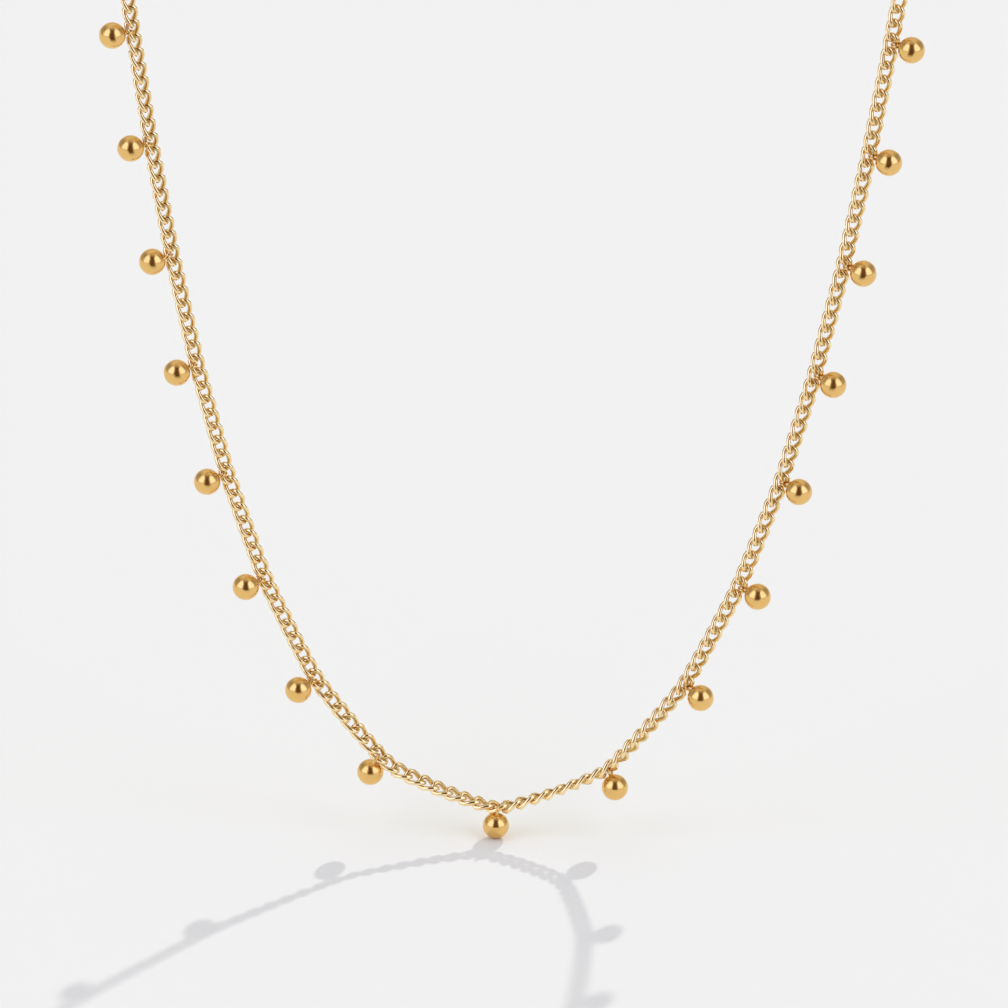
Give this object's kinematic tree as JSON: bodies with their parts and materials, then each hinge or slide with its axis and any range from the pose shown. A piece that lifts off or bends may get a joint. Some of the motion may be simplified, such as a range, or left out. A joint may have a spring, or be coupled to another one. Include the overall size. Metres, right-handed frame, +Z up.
{
  "type": "beaded chain necklace",
  "caption": "Fine gold-coloured curb chain necklace that hangs as a closed loop, with small round polished beads on wire loops along its front and a plain clasp at the nape.",
  "frame": {"origin": "middle of the clasp at the nape, where the loop hangs", "axes": "+Z up, +X to the wearer's left, the front of the necklace faces -Y"},
  "size_m": [0.0892, 0.0044, 0.1698],
  "materials": {
    "chain_gold": "polished gold plate on fine wire",
    "bead_gold": "mirror-polished gold plate",
    "clasp_gold": "polished gold plate with light wear"
  },
  "bodies": {
    "root": {"chain_left": "chain_gold", "chain_right": "chain_gold", "chain_back_left": "chain_gold", "chain_back_right": "chain_gold", "bead_left_8": "bead_gold", "bead_left_7": "bead_gold", "bead_left_6": "bead_gold", "bead_left_5": "bead_gold", "bead_left_4": "bead_gold", "bead_left_3": "bead_gold", "bead_left_2": "bead_gold", "bead_left_1": "bead_gold", "bead_middle": "bead_gold", "bead_right_1": "bead_gold", "bead_right_2": "bead_gold", "bead_right_3": "bead_gold", "bead_right_4": "bead_gold", "bead_right_5": "bead_gold", "bead_right_6": "bead_gold", "bead_right_7": "bead_gold", "bead_right_8": "bead_gold", "clasp": "clasp_gold", "clasp_ring": "clasp_gold", "end_ring": "clasp_gold"}
  },
  "joints": []
}
